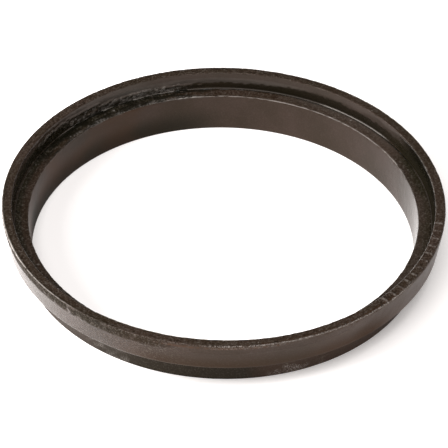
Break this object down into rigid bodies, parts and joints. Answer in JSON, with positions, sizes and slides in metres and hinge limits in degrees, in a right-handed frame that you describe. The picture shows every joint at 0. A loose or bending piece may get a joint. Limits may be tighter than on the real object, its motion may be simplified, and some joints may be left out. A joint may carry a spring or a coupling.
{
  "type": "flange riser ring",
  "caption": "Round cast-iron riser ring with a lid recess inside its rim and a spigot skirt below, open through the middle.",
  "frame": {"origin": "centre of the ring at the foot of the skirt", "axes": "+Z along the ring's axis, from the skirt's foot to the rim; X and Y are free, because the ring is round"},
  "size_m": [0.3088, 0.3088, 0.0412],
  "materials": {
    "collar_iron": "asphalt-dipped sand casting, satin with broad sheen",
    "sleeve_iron": "asphalt-dipped sand casting, satin wall and granular seat",
    "bitumen": "glossy black bitumen"
  },
  "bodies": {
    "root": {"rim_collar": "collar_iron", "spigot_sleeve": "sleeve_iron", "joint_bead": "bitumen"}
  },
  "joints": []
}
